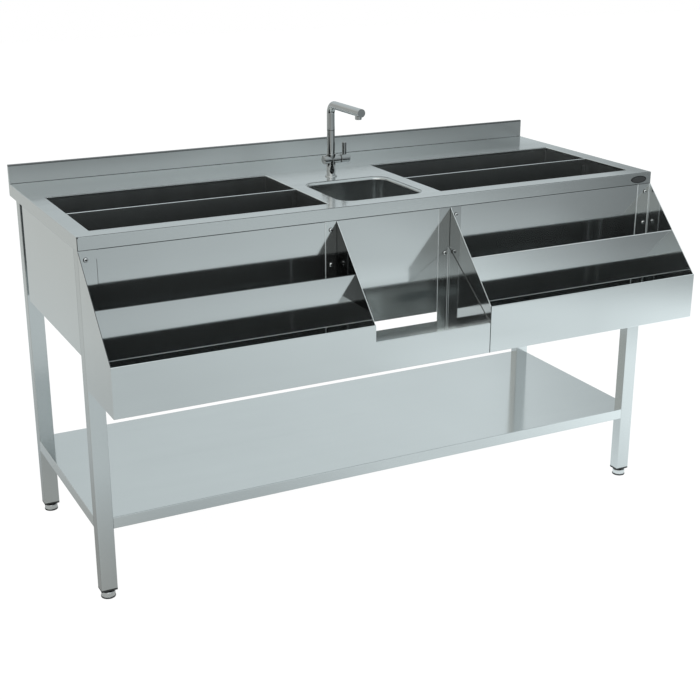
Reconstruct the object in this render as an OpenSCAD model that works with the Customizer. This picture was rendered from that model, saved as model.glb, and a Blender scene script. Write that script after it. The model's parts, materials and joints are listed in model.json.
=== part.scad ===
/* [Worktop] */
// Length of the worktop
worktop_length = 1500; // [1480:10:1800]
// Depth of the worktop with its splashback
worktop_depth = 600; // [590:10:700]
// Height of the worktop above the floor
worktop_height = 850; // [800:10:950]
// Height of the worktop's folded edge
edge_height = 30; // [28:1:45]
// Rise of the splashback above the worktop
splash_rise = 47; // [40:1:100]
// Thickness of the splashback from front to back
splash_thickness = 8.3; // [7:0.1:20]
// Thickness of the folded sheet
sheet = 1.2; // [1:0.1:1.5]
// Inner radius of the bends
bend = 0.3; // [0.2:0.1:1]
// Width of the flange turned in under an edge
return_flange = 15; // [12:1:18]

/* [Openings] */
// Distance from the worktop's front edge to the openings
opening_setback = 45; // [44:1:60]
// Width of the bay between the two ice bins
centre_bay = 300; // [296:2:320]
// Length of an ice bin's opening
bin_length = 560; // [450:5:565]
// Width of an ice bin's opening from front to back
bin_width = 360; // [300:5:380]
// Height of the edge turned down round an ice bin's opening
opening_lip = 6; // [5:0.5:10]
// Side of the sink's square opening
sink_size = 228; // [200:2:234]
// Corner radius of the sink's opening
sink_corner = 38; // [30:1:50]
// Width of the flange welded under the worktop round a bin or the bowl
seat_flange = 12; // [10:1:13]

/* [Ice bins] */
// Depth of an ice bin below the worktop's sheet
bin_depth = 238; // [200:2:260]
// Thickness of the bins, the bowl and their loose pieces
liner = 1; // [0.8:0.1:1.2]
// Height of the perforated floor above the bin's bottom
grid_height = 25; // [15:1:40]
// Diameter of the holes in the perforated floor
grid_hole = 12; // [8:1:16]
// Pitch of the holes in the perforated floor
grid_pitch = 58; // [45:1:80]
// Distance from the opening's front edge to the divider's middle
divider_setback = 180; // [120:5:200]
// Height of a folded hem
hem = 10; // [8:1:14]

/* [Sink] */
// Depth of the bowl below the worktop's sheet
bowl_depth = 150; // [120:5:180]
// Radius of the bowl's rolled rim
rim_roll = 6; // [4:0.5:8]
// Radius of a waste fitting's flange
waste_flange_radius = 35; // [32:1:40]
// Outer radius of a waste fitting's tail
waste_tail_radius = 20; // [18:0.5:21]
// Length of a waste fitting below what it is fixed to
waste_drop = 50; // [45:1:60]

/* [Tap] */
// Sideways place of the tap from the middle of the worktop
tap_x = -6.5; // [-20:0.5:20]
// Distance from the sink's opening back to the tap
tap_setback = 48; // [44:1:60]
// Height of the tap's side body above the worktop
tap_side_height = 43; // [40:1:60]
// Height of the swivel joint above the worktop
tap_swivel_height = 116; // [100:1:150]
// Height of the spout's arm above the worktop
tap_arm_height = 180; // [170:1:260]
// Reach of the spout from the tap's axis to its closed end
tap_reach = 164; // [150:1:200]
// Radius of the spout's tube
spout_radius = 10; // [9.5:0.1:11]
// Radius of the tap's lower column
column_radius = 11.3; // [11.2:0.1:14]
// Height of the lever's pin above the side body's top
lever_height = 29; // [20:1:45]

/* [Legs and shelf] */
// Width of a leg along the worktop's length
leg_width = 38; // [36:1:45]
// Depth of a leg from front to back
leg_depth = 30; // [28:1:40]
// Corner radius of a leg's tube
leg_corner = 1.5; // [1.5:0.1:3]
// Distance from the worktop's back edge to the rear legs
rear_leg_inset = 66; // [40:1:80]
// Thickness of the cap at a leg's lower end
cap_thickness = 3; // [2:0.5:5]
// Radius of a foot's disc
foot_radius = 17; // [14:0.5:20]
// Height of a foot below its cap
foot_height = 19.3; // [17:0.1:30]
// Travel of a foot's screw
foot_travel = 25; // [15:1:30]
// Height of the shelf above the floor
shelf_height = 201; // [150:1:300]
// Height of the shelf's folded rim
shelf_rim = 28; // [25:1:40]
// Height of a side skirt
skirt_height = 238; // [150:1:300]
// Gap between a side skirt and the rear leg
skirt_gap = 26; // [20:1:40]

/* [Bottle racks] */
// Reach of the bottle racks in front of the worktop
rack_reach = 190; // [180:2:240]
// Height of the racks below the worktop's edge
rack_height = 306; // [290:2:340]
// Height of a rack's front panel
panel_height = 112; // [105:1:125]
// Height of the centre bay's lower front lip
lip_height = 73; // [65:1:80]
// Reach of an upper tier in front of the worktop
tier_reach = 95; // [85:1:100]
// Height of an upper tier's floor above the rack's floor
tier_rise = 90; // [85:1:100]
// Height of an upper tier's plate
tier_height = 114; // [100:1:120]
// Drop from the worktop's edge to the centre gusset's slope
gusset_drop = 97; // [80:1:110]
// Width of the flanges on the outer cheeks
outer_flange = 40; // [38:1:50]
// Width of the flanges on the inner cheeks and the gusset
inner_flange = 30; // [28:1:40]
// Width of the slot through the apron
slot_width = 242; // [200:2:244]
// Height of the slot through the apron
slot_height = 24; // [15:1:30]
// Height of the slot above the rack's floor
slot_rise = 26; // [20:1:35]
// Radius of a rack screw's head
screw_head_radius = 5.5; // [4.5:0.1:7]
// Distance from a cheek's face to its screws
screw_inset = 16; // [14:1:20]
// Distance from the worktop's edge to the upper screws
screw_drop = 20; // [15:1:30]

/* [Hidden] */
$fn = 64;

// Extra length of a cut past the face it opens.
past = 1;
// Gap of a running fit round a shaft, on the radius.
running = 0.05;
// Gap between curved or loose pieces.
loose = 0.3;

// Main planes, with the middle of the whole length and depth at the origin.
half_length = worktop_length / 2;
front_y = (rack_reach - worktop_depth) / 2;
back_y = (rack_reach + worktop_depth) / 2;
top_z = worktop_height;
under_z = top_z - sheet;
edge_z = top_z - edge_height;
fold = sheet + bend;

// Openings in the worktop.
opening_y = front_y + opening_setback;
bin_x = centre_bay / 2 + bin_length / 2;
tank_gap = sheet + loose;
tank_floor = under_z - bin_depth;
tank_length = bin_length + 2 * tank_gap;
tank_width = bin_width + 2 * tank_gap;
tank_bend = 2;
sink_y = opening_y + sink_size / 2;
bowl_floor = under_z - bowl_depth;

// Frame under the worktop.
rail_gap = 4;
rail_back_y = opening_y - tank_gap - liner - seat_flange - rail_gap;
frame_y = front_y + sheet;
rear_leg_y = back_y - rear_leg_inset - leg_depth;
leg_x = half_length - leg_width / 2;
leg_foot_z = foot_height + cap_thickness;
cross_rail_width = 18;
cross_rail_x = (centre_bay / 2 - tank_gap - liner + sink_size / 2) / 2;

// Perforated floors and dividers.
grid_top = tank_floor + grid_height;
grid_length = bin_length - 2 * past;
grid_width = bin_width - 2 * past;
divider_y = opening_y + divider_setback;
divider_top = top_z - past;
hem_thickness = 2 * (liner + loose);
guide_reach = 12;
guide_gap = liner / 2 + loose;
guide_end_gap = 2;
guide_low = grid_top + guide_end_gap;
guide_top = divider_top - hem - 4 * guide_end_gap;

// Waste fittings: flange, threaded neck and smooth tail.
waste_wall = 2;
waste_neck_radius = waste_tail_radius + waste_wall;
waste_bore = waste_tail_radius - waste_wall;
waste_flange_thickness = 2;
waste_recess_rim = 5;
waste_recess_radius = waste_flange_radius - waste_recess_rim;
gasket_thickness = 3;
waste_nut_height = 12;
waste_nut_radius = waste_flange_radius - 5;
waste_lugs = 6;
waste_lug_reach = 2;
waste_lug_width = 4;
waste_neck_drop = 22;
bin_waste_y = (divider_y + opening_y + bin_width) / 2;
strainer_thickness = 1;
strainer_radius = waste_recess_radius - loose;
strainer_hole = 2;
strainer_ring = 7;
knob_height = 12;
knob_stem = 2;
knob_radius = 4;

// Tap.
tap_y = opening_y + sink_size + tap_setback;
ring_height = 3;
ring_reach = 4;
ring_chamfer = 1;
shank_radius = 9;
shank_wall = 3;
shank_drop = 60;
tail_radius = 7.5;
tail_length = 30;
shank_grip = 6;
side_z = top_z + tap_side_height;
side_radius = column_radius;
collar_reach = 0.8;
collar_height = 3;
neck_step = 0.2;
side_left = 22;
side_right = 24;
cap_gap = 2;
cap_right = 50;
ball_radius = 6.7;
ball_x = side_right + cap_gap + 4;
stem_radius = 4;
stem_socket = 18;
lever_radius = 5.5;
lever_x = 37;
lever_seat = side_z + side_radius - 3;
swivel_z = top_z + tap_swivel_height;
swivel_gap = 0.4;
spigot_radius = 7;
spigot_height = 20;
spigot_room = 2;
spout_wall = 2;
spout_bend = 22;
arm_z = top_z + tap_arm_height;
nozzle_radius = 8.3;
nozzle_wall = 1.2;
nozzle_inset = 16;
nozzle_drop = 6;
aerator_wall = 1.6;
aerator_show = 1;
aerator_hole = 0.8;
washer_thickness = 3;
washer_reach = 7;
tap_nut_height = 8;
tap_nut_reach = 6;

// Feet.
stem_grip = 20;
stem_length = foot_travel + stem_grip;
foot_stem_radius = 5;
plug_height = 20;

// Shelf and racks.
stiffener_width = 60;
rack_y = front_y - rack_reach;
rack_z = edge_z - rack_height;
floor_top = rack_z + sheet;
bay_x = centre_bay / 2;
seam = 0.4;
hem_back_y = rack_y + 2 * fold;
tier_y = front_y - tier_reach;
tier_z = rack_z + tier_rise;
screw_radius = 2.9;
screw_length = 12;
screw_pitch = 81;
screw_dome = 1.06;
gusset_screw_gap = 13;
gusset_screw = [bay_x - gusset_screw_gap, edge_z - gusset_drop - gusset_screw_gap];

steel = [0.76, 0.79, 0.80];
bright = [0.86, 0.88, 0.89];
dark = [0.25, 0.26, 0.27];

// ---------------------------------------------------------------- profiles

function unit(v) = v / norm(v);
function left_of(v) = [-v.y, v.x];
function turn(a, b) = a.x * b.y - a.y * b.x;
function bend_at(radii, i) = is_list(radii) ? radii[i] : radii;

// Straight strip of thickness t along the line from a to b.
module strip(a, b, t) {
  side = left_of(unit(b - a)) * t / 2;
  polygon([a + side, a - side, b - side, b + side]);
}

// Section of a folded sheet of thickness t. The points are the corners of the face
// on the right of the way from the first to the last, and the sheet lies on its left.
module folded(points, t, radii) {
  last = len(points) - 1;
  ways = [for (i = [0 : last - 1]) unit(points[i + 1] - points[i])];
  before = [for (i = [0 : last]) ways[max(i - 1, 0)]];
  after = [for (i = [0 : last]) ways[min(i, last - 1)]];
  middle = [for (i = [0 : last])
    points[i] + t / 2 * (left_of(before[i]) + left_of(after[i])) / (1 + before[i] * after[i])];
  radius = [for (i = [0 : last]) bend_at(radii, i) + t / 2];
  reach = [for (i = [0 : last])
    radius[i] * abs(turn(before[i], after[i])) / (1 + before[i] * after[i])];
  for (i = [0 : last - 1]) {
    start = middle[i] + ways[i] * reach[i];
    end = middle[i + 1] - ways[i] * reach[i + 1];
    if ((end - start) * ways[i] > 0.001) strip(start, end, t);
  }
  for (i = [1 : last - 1]) {
    out = -sign(turn(before[i], after[i]));
    centre = middle[i] - before[i] * reach[i] - out * left_of(before[i]) * radius[i];
    far = 2 * (radius[i] + t);
    first = out * left_of(before[i]) * far;
    second = out * left_of(after[i]) * far;
    intersection() {
      translate(centre) difference() {
        circle(radius[i] + t / 2);
        circle(radius[i] - t / 2);
      }
      polygon([centre, centre + first, centre + first + second, centre + second]);
    }
  }
}

module rounded_square(size, r) {
  translate([-size.x / 2, -size.y / 2 + r]) square([size.x, size.y - 2 * r]);
  translate([-size.x / 2 + r, -size.y / 2]) square([size.x - 2 * r, size.y]);
  for (x = [-1, 1], y = [-1, 1])
    translate([x * (size.x / 2 - r), y * (size.y / 2 - r)]) circle(r);
}

// ------------------------------------------------------------------ solids

// Box between two corners.
module box(low, high) {
  translate(low) cube(high - low);
}

// A section drawn in Y and Z, run along X.
module along_x(x0, x1) {
  translate([x0, 0, 0]) rotate([90, 0, 90]) linear_extrude(x1 - x0) children();
}

// A section drawn in X and Z, run along Y.
module along_y(y0, y1) {
  translate([0, y1, 0]) rotate([90, 0, 0]) linear_extrude(y1 - y0) children();
}

// Block on the plane z = 0 whose upright and upper edges are rounded.
module soft_block(size, r) {
  x = size.x / 2 - r;
  y = size.y / 2 - r;
  box([-x - r, -y, 0], [x + r, y, size.z - r]);
  box([-x, -y - r, 0], [x, y + r, size.z - r]);
  box([-x, -y, 0], [x, y, size.z]);
  for (i = [-x, x], j = [-y, y]) translate([i, j, 0]) {
    cylinder(r = r, h = size.z - r);
    translate([0, 0, size.z - r]) sphere(r);
  }
  for (j = [-y, y]) translate([-x, j, size.z - r]) rotate([0, 90, 0]) cylinder(r = r, h = 2 * x);
  for (i = [-x, x]) translate([i, -y, size.z - r]) rotate([-90, 0, 0]) cylinder(r = r, h = 2 * y);
}

// Pressed pan, open upwards, whose outside has the given size.
module pan(size, r, t) {
  mirror([0, 0, 1]) difference() {
    soft_block(size, r);
    translate([0, 0, -past]) soft_block([size.x - 2 * t, size.y - 2 * t, size.z - t + past], r - t);
  }
}

module place_bin(side) {
  translate([side * bin_x, opening_y + bin_width / 2, 0]) children();
}

module leg_places(side, rear) {
  translate([side * leg_x, (rear ? rear_leg_y : frame_y) + leg_depth / 2, 0]) children();
}

// ----------------------------------------------------------------- worktop

module splash_section() {
  face_y = back_y - splash_thickness;
  folded([
    [back_y, edge_z + fold], [back_y, top_z + splash_rise],
    [face_y, top_z + splash_rise], [face_y, top_z], [face_y - 2 * fold, top_z]
  ], sheet, bend);
}

module splash_end() {
  face_y = back_y - splash_thickness;
  difference() {
    translate([face_y, under_z]) square([splash_thickness, splash_rise + sheet]);
    for (y = [face_y, back_y])
      translate([y, top_z + splash_rise]) square(2 * fold, center = true);
  }
  for (y = [face_y + fold, back_y - fold])
    translate([y, top_z + splash_rise - fold]) circle(fold);
}

// Rounding cut along the upper edge of an opening.
module edge_round(length) {
  rotate([90, 0, 0]) linear_extrude(length, center = true) difference() {
    translate([-past, -fold]) square([fold + past, fold + past]);
    translate([fold, -fold]) circle(fold);
  }
}

module bin_lip() {
  size = [bin_length, bin_width];
  translate([0, 0, top_z - opening_lip]) linear_extrude(opening_lip - sheet / 2) difference() {
    square(size + [2, 2] * sheet, center = true);
    square(size, center = true);
  }
}

module bin_cut() {
  size = [bin_length, bin_width];
  translate([0, 0, top_z - edge_height]) linear_extrude(edge_height + past) square(size, center = true);
  for (side = [0, 180]) rotate(side) {
    translate([bin_length / 2, 0, top_z]) edge_round(bin_width);
    translate([0, bin_width / 2, top_z]) rotate(90) edge_round(bin_length);
  }
}

module worktop() {
  size = [worktop_length, worktop_depth, edge_height];
  centre_y = (front_y + back_y) / 2;
  inner_y = back_y - sheet;
  color(steel) difference() {
    union() {
      difference() {
        translate([0, centre_y, edge_z]) soft_block(size, fold);
        translate([0, centre_y, edge_z + sheet])
          soft_block([size.x - 2 * sheet, size.y - 2 * sheet, size.z - 2 * sheet], bend);
        box([-half_length + sheet, front_y + return_flange, edge_z - past],
            [half_length - sheet, back_y - return_flange, edge_z + 2 * sheet]);
        box([-half_length + sheet, back_y - splash_thickness - bend, under_z - bend],
            [half_length - sheet, inner_y, top_z + past]);
      }
      along_x(-half_length, half_length) splash_section();
      for (x = [-half_length, half_length - sheet]) along_x(x, x + sheet) splash_end();
      for (side = [-1, 1]) place_bin(side) bin_lip();
    }
    for (side = [-1, 1]) place_bin(side) bin_cut();
    translate([0, sink_y, under_z - past]) linear_extrude(sheet + 2 * past)
      rounded_square([sink_size, sink_size], sink_corner);
    translate([tap_x, tap_y, under_z - past]) cylinder(r = shank_radius + loose, h = sheet + 2 * past);
  }
}

// ------------------------------------------------------- frame under the worktop

module channel(y0, y1, z0) {
  folded([[y1, z0], [y1, under_z], [y0, under_z], [y0, z0]], sheet, bend);
}

module front_rail() {
  end_x = half_length - fold;
  color(steel) along_x(-end_x, end_x) channel(frame_y, rail_back_y, edge_z + sheet);
}

module rear_rail() {
  end_x = half_length - fold;
  color(steel) along_x(-end_x, end_x) channel(rear_leg_y, rear_leg_y + leg_depth, edge_z);
}

module cross_rail(side) {
  w = cross_rail_width / 2;
  top = under_z - liner;
  color(steel) translate([side * cross_rail_x, 0, 0]) along_y(rail_back_y, rear_leg_y)
    folded([[w, edge_z], [w, top], [-w, top], [-w, edge_z]], sheet, bend);
}

module cross_rail_left() { cross_rail(-1); }
module cross_rail_right() { cross_rail(1); }

// ---------------------------------------------------------------- ice bins

module ice_bin(side) {
  outer = [tank_length + 2 * liner, tank_width + 2 * liner];
  color(dark) place_bin(side) difference() {
    union() {
      translate([0, 0, under_z]) pan([outer.x, outer.y, bin_depth + liner], tank_bend + liner, liner);
      translate([0, 0, under_z - liner]) linear_extrude(liner) difference() {
        square(outer + [2, 2] * seat_flange, center = true);
        square(outer - [1, 1] * liner, center = true);
      }
    }
    translate([0, bin_waste_y - opening_y - bin_width / 2, tank_floor - liner - past])
      cylinder(r = waste_neck_radius + loose, h = liner + 2 * past);
  }
}

module ice_bin_left() { ice_bin(-1); }
module ice_bin_right() { ice_bin(1); }

module grid_holes() {
  across = floor((grid_length - 2 * grid_hole) / grid_pitch);
  deep = floor((grid_width - 2 * grid_hole) / grid_pitch);
  for (i = [0 : across], j = [0 : deep])
    translate([(i - across / 2) * grid_pitch, (j - deep / 2) * grid_pitch]) circle(d = grid_hole);
}

// Perforated floor folded down at its front and back, and notched round the guides.
module bin_grid(side) {
  w = grid_width / 2;
  notch = [2 * guide_reach, 2 * (guide_gap + liner + past)];
  notch_y = divider_y - opening_y - bin_width / 2;
  color(steel) place_bin(side) difference() {
    translate([0, 0, tank_floor]) along_x(-grid_length / 2, grid_length / 2)
      folded([[w, 0], [w, grid_height], [-w, grid_height], [-w, 0]], liner, bend);
    translate([0, 0, grid_top - liner - past]) linear_extrude(liner + 2 * past) {
      grid_holes();
      for (end = [-1, 1]) translate([end * grid_length / 2, notch_y]) square(notch, center = true);
    }
  }
}

module bin_grid_left() { bin_grid(-1); }
module bin_grid_right() { bin_grid(1); }

module bin_divider(side) {
  fold_y = liner / 2;
  x = side * bin_x;
  half = bin_length / 2 - loose;
  color(bright) translate([0, divider_y, 0]) along_x(x - half, x + half) translate([-fold_y, 0])
    folded([
      [hem_thickness, divider_top - hem], [hem_thickness, divider_top],
      [0, divider_top], [0, grid_top]
    ], liner, loose);
}

module bin_divider_left() { bin_divider(-1); }
module bin_divider_right() { bin_divider(1); }

// Channels on the end walls of the bins, in which the dividers slide.
module bin_guides() {
  wall_x = tank_length / 2;
  open_x = wall_x - guide_reach;
  web_x = wall_x - liner;
  g = guide_gap;
  color(dark) for (side = [-1, 1], end = [0, 180])
    translate([side * bin_x, divider_y, guide_low]) rotate(end)
      linear_extrude(guide_top - guide_low)
        folded([[open_x, g], [web_x, g], [web_x, -g], [open_x, -g]], liner, bend);
}

// ---------------------------------------------------------- waste fittings

// Fitting whose flange lies on the plane z = 0 and whose neck goes down through a sheet.
module waste_fitting() {
  t = waste_flange_thickness;
  rotate_extrude() polygon([
    [waste_bore, -waste_drop], [waste_tail_radius, -waste_drop],
    [waste_tail_radius, -waste_neck_drop], [waste_neck_radius, -waste_neck_drop],
    [waste_neck_radius, 0], [waste_flange_radius, 0], [waste_flange_radius, t / 2],
    [waste_flange_radius - t, t], [waste_recess_radius, t], [waste_recess_radius, t / 2],
    [waste_bore + t, t / 2], [waste_bore, -t]
  ]);
}

module waste_ring(z, height, outer) {
  translate([0, 0, z - height]) difference() {
    cylinder(r = outer, h = height);
    translate([0, 0, -past]) cylinder(r = waste_neck_radius + running, h = height + 2 * past);
  }
}

module waste_gasket() {
  waste_ring(-liner, gasket_thickness, waste_flange_radius - 3);
}

// Plastic nut with lugs for the hand.
module waste_nut() {
  lug_size = [waste_nut_radius + waste_lug_reach - waste_neck_radius - 1, waste_lug_width];
  translate([0, 0, -liner - gasket_thickness - waste_nut_height]) linear_extrude(waste_nut_height)
    difference() {
      union() {
        circle(waste_nut_radius);
        for (i = [1 : waste_lugs]) rotate(i * 360 / waste_lugs)
          translate([waste_nut_radius + waste_lug_reach - lug_size.x, -lug_size.y / 2]) square(lug_size);
      }
      circle(waste_neck_radius + running);
    }
}

module at_bin_waste(side) {
  translate([side * bin_x, bin_waste_y, tank_floor]) children();
}

module bin_waste_left() { color(bright) at_bin_waste(-1) waste_fitting(); }
module bin_waste_right() { color(bright) at_bin_waste(1) waste_fitting(); }
module bin_gasket_left() { color(dark) at_bin_waste(-1) waste_gasket(); }
module bin_gasket_right() { color(dark) at_bin_waste(1) waste_gasket(); }
module bin_nut_left() { color(dark) at_bin_waste(-1) waste_nut(); }
module bin_nut_right() { color(dark) at_bin_waste(1) waste_nut(); }

// -------------------------------------------------------------------- sink

// Quarter of the rolled rim's section, with its outer edge at radius r, and its straight ends.
module roll_section(r) {
  translate([r - rim_roll, -rim_roll - past]) square([liner, past]);
  translate([r, -liner]) square([past, liner]);
  intersection() {
    translate([r, -rim_roll]) difference() {
      circle(rim_roll);
      circle(rim_roll - liner);
    }
    translate([r - rim_roll, -rim_roll]) square(rim_roll);
  }
}

module rolled_rim() {
  side = sink_size - 2 * sink_corner;
  for (i = [0 : 3]) rotate(90 * i) {
    translate([side / 2, side / 2, 0]) rotate_extrude(angle = 90) roll_section(sink_corner);
    translate([side / 2, side / 2, 0]) rotate([90, 0, 0]) linear_extrude(side) roll_section(sink_corner);
  }
}

module sink_bowl() {
  inside = sink_size - 2 * rim_roll;
  corner = sink_corner - rim_roll;
  outside = inside + 2 * liner;
  color(steel) translate([0, sink_y, 0]) difference() {
    union() {
      translate([0, 0, under_z - rim_roll])
        pan([outside, outside, bowl_depth - rim_roll + liner], corner + liner, liner);
      translate([0, 0, under_z]) rolled_rim();
      translate([0, 0, under_z - liner]) linear_extrude(liner) difference() {
        rounded_square([1, 1] * (sink_size + 2 * seat_flange), sink_corner + seat_flange);
        rounded_square([sink_size, sink_size], sink_corner);
      }
    }
    translate([0, 0, bowl_floor - liner - past])
      cylinder(r = waste_neck_radius + loose, h = liner + 2 * past);
  }
}

module at_sink_waste() {
  translate([0, sink_y, bowl_floor]) children();
}

module sink_waste() { color(bright) at_sink_waste() waste_fitting(); }
module sink_gasket() { color(dark) at_sink_waste() waste_gasket(); }
module sink_nut() { color(dark) at_sink_waste() waste_nut(); }

// Perforated strainer with a knob, loose in the waste's recess.
module sink_strainer() {
  low = waste_flange_thickness / 2;
  color(bright) at_sink_waste() translate([0, 0, low]) {
    linear_extrude(strainer_thickness) difference() {
      circle(strainer_radius);
      for (ring = [1, 2], i = [1 : 6 * ring])
        rotate(i * 60 / ring) translate([ring * strainer_ring, 0]) circle(strainer_hole);
    }
    cylinder(r = knob_stem, h = knob_height);
    translate([0, 0, knob_height]) sphere(knob_radius);
  }
}

// --------------------------------------------------------------------- tap

module at_tap() {
  translate([tap_x, tap_y, 0]) children();
}

module tap_ring() {
  outer = column_radius + ring_reach;
  color(bright) at_tap() rotate_extrude() polygon([
    [shank_radius + running, top_z], [outer, top_z], [outer, top_z + ring_height - ring_chamfer],
    [outer - ring_chamfer, top_z + ring_height], [shank_radius + running, top_z + ring_height]
  ]);
}

// Column with its collar and side body, and the spigot that the spout turns on.
module tap_body() {
  neck_radius = spout_radius - neck_step;
  collar_z = side_z + side_radius;
  color(bright) at_tap() difference() {
    union() {
      translate([0, 0, top_z + ring_height]) cylinder(r = column_radius, h = collar_z - top_z - ring_height);
      translate([0, 0, collar_z]) cylinder(r = column_radius + collar_reach, h = collar_height);
      translate([0, 0, collar_z]) cylinder(r = neck_radius, h = swivel_z - collar_z);
      translate([0, 0, swivel_z]) cylinder(r = spigot_radius, h = spigot_height);
      translate([0, 0, side_z]) rotate([0, 90, 0]) rotate_extrude() polygon([
        [0, -side_left], [side_radius - 2, -side_left], [side_radius, -side_left + 2],
        [side_radius, side_right - 1], [side_radius - 1, side_right], [0, side_right]
      ]);
    }
    translate([0, 0, top_z]) cylinder(r = shank_radius + running, h = ring_height + shank_grip);
    translate([side_right - stem_socket, 0, side_z]) rotate([0, 90, 0])
      cylinder(r = stem_radius + running, h = stem_socket + past);
  }
}

// Stem and ball that turn in the side body and carry the cap.
module tap_cartridge() {
  start = side_right - stem_socket + loose;
  color(dark) at_tap() translate([0, 0, side_z]) {
    translate([start, 0, 0]) rotate([0, 90, 0]) cylinder(r = stem_radius, h = ball_x - start);
    translate([ball_x, 0, 0]) sphere(ball_radius);
  }
}

module tap_cap() {
  left = side_right + cap_gap;
  color(bright) at_tap() difference() {
    translate([0, 0, side_z]) rotate([0, 90, 0]) rotate_extrude() difference() {
      polygon([
        [0, left], [side_radius - 1.2, left], [side_radius, left + 1.2],
        [side_radius, cap_right - 2], [side_radius - 2, cap_right], [0, cap_right]
      ]);
      translate([0, ball_x]) circle(ball_radius + loose);
      square([stem_radius + 2, ball_x]);
    }
    translate([lever_x, 0, lever_seat]) cylinder(r = lever_radius + running, h = 2 * side_radius);
  }
}

module tap_lever() {
  top = side_z + side_radius + lever_height;
  color(bright) at_tap() translate([lever_x, 0, 0]) rotate_extrude() polygon([
    [0, lever_seat], [lever_radius, lever_seat], [lever_radius, top - 1],
    [lever_radius - 1, top], [0, top]
  ]);
}

// Run of the spout's tube at radius r: riser from z0, bend and arm up to its end.
module spout_run(r, z0, end) {
  translate([0, 0, z0]) cylinder(r = r, h = arm_z - spout_bend - z0);
  translate([0, -spout_bend, arm_z - spout_bend]) rotate([90, 0, 90])
    rotate_extrude(angle = 90) translate([spout_bend, 0]) circle(r);
  translate([0, -spout_bend, arm_z]) rotate([90, 0, 0]) cylinder(r = r, h = end - spout_bend);
}

module tap_spout() {
  nozzle_y = -tap_reach + nozzle_inset;
  nozzle_z = arm_z - spout_radius - nozzle_drop;
  inner = spout_radius - spout_wall;
  low = swivel_z + swivel_gap;
  color(bright) at_tap() difference() {
    union() {
      spout_run(spout_radius, low, tap_reach);
      translate([0, nozzle_y, nozzle_z]) cylinder(r = nozzle_radius, h = nozzle_drop + spout_radius / 2);
    }
    spout_run(inner, swivel_z + spigot_height + spigot_room, tap_reach - spout_wall);
    translate([0, 0, low - past])
      cylinder(r = spigot_radius + running, h = spigot_height + 2 * spigot_room);
    translate([0, nozzle_y, nozzle_z - past])
      cylinder(r = nozzle_radius - nozzle_wall, h = nozzle_drop + spout_radius);
  }
}

module tap_aerator() {
  nozzle_z = arm_z - spout_radius - nozzle_drop;
  radius = nozzle_radius - nozzle_wall - running;
  color(bright) at_tap() translate([0, -tap_reach + nozzle_inset, nozzle_z - aerator_show]) difference() {
    cylinder(r = radius, h = nozzle_drop);
    translate([0, 0, -past]) cylinder(r = radius - aerator_wall, h = nozzle_drop / 2 + past);
    for (i = [1 : 6]) rotate(60 * i) translate([radius / 2, 0, 0])
      cylinder(r = aerator_hole, h = nozzle_drop + past);
  }
}

// Threaded shank that holds the tap down, with the plain tail of its water pipe.
module tap_shank() {
  low = under_z - shank_drop;
  neck = low + tail_length;
  color(bright) at_tap() difference() {
    union() {
      translate([0, 0, neck]) cylinder(r = shank_radius, h = top_z + ring_height + shank_grip - neck);
      translate([0, 0, low]) cylinder(r = tail_radius, h = tail_length + past);
    }
    translate([0, 0, low - past]) cylinder(r = shank_radius - shank_wall, h = shank_drop);
  }
}

module tap_washer() {
  color(dark) at_tap() translate([0, 0, under_z - washer_thickness]) difference() {
    cylinder(r = shank_radius + washer_reach, h = washer_thickness);
    translate([0, 0, -past]) cylinder(r = shank_radius + loose, h = washer_thickness + 2 * past);
  }
}

module tap_nut() {
  color(bright) at_tap() translate([0, 0, under_z - washer_thickness - tap_nut_height]) difference() {
    cylinder(r = shank_radius + tap_nut_reach, h = tap_nut_height, $fn = 6);
    translate([0, 0, -past]) cylinder(r = shank_radius + running, h = tap_nut_height + 2 * past);
  }
}

// ----------------------------------------------------------- legs and feet

module leg(side, rear) {
  size = [leg_width, leg_depth];
  color(steel) difference() {
    leg_places(side, rear) translate([0, 0, leg_foot_z]) linear_extrude(edge_z - leg_foot_z) difference() {
      rounded_square(size, leg_corner);
      rounded_square(size - [2, 2] * sheet, leg_corner - sheet + loose);
    }
    if (!rear) screw_holes(cheek_screws(side * half_length, -side));
  }
}

module leg_cap(side, rear) {
  size = [leg_width, leg_depth];
  plug = size - [2, 2] * (sheet + loose / 2);
  color(dark) leg_places(side, rear) translate([0, 0, foot_height]) difference() {
    union() {
      linear_extrude(cap_thickness) rounded_square(size, leg_corner);
      linear_extrude(cap_thickness + plug_height) rounded_square(plug, leg_corner);
    }
    translate([0, 0, -past])
      cylinder(r = foot_stem_radius + running, h = cap_thickness + plug_height + 2 * past);
  }
}

module foot(side, rear) {
  edge = foot_height / 3;
  color(bright) leg_places(side, rear) {
    rotate_extrude() polygon([
      [0, 0], [foot_radius - 1, 0], [foot_radius, 1], [foot_radius, edge],
      [foot_radius - 2, foot_height / 2], [foot_radius / 2, foot_height / 2 + 1],
      [foot_radius / 2, foot_height], [0, foot_height]
    ]);
    cylinder(r = foot_stem_radius, h = foot_height + stem_length);
  }
}

module leg_front_left() { leg(-1, false); }
module leg_front_right() { leg(1, false); }
module leg_rear_left() { leg(-1, true); }
module leg_rear_right() { leg(1, true); }
module cap_front_left() { leg_cap(-1, false); }
module cap_front_right() { leg_cap(1, false); }
module cap_rear_left() { leg_cap(-1, true); }
module cap_rear_right() { leg_cap(1, true); }
module foot_front_left() { foot(-1, false); }
module foot_front_right() { foot(1, false); }
module foot_rear_left() { foot(-1, true); }
module foot_rear_right() { foot(1, true); }

// --------------------------------------------------------- shelf and panels

// Section of the shelf from a to b, with its rims and their returns.
module shelf_section(a, b) {
  low = shelf_height - shelf_rim;
  folded([
    [b - return_flange, low], [b, low], [b, shelf_height],
    [a, shelf_height], [a, low], [a + return_flange, low]
  ], sheet, bend);
}

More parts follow.
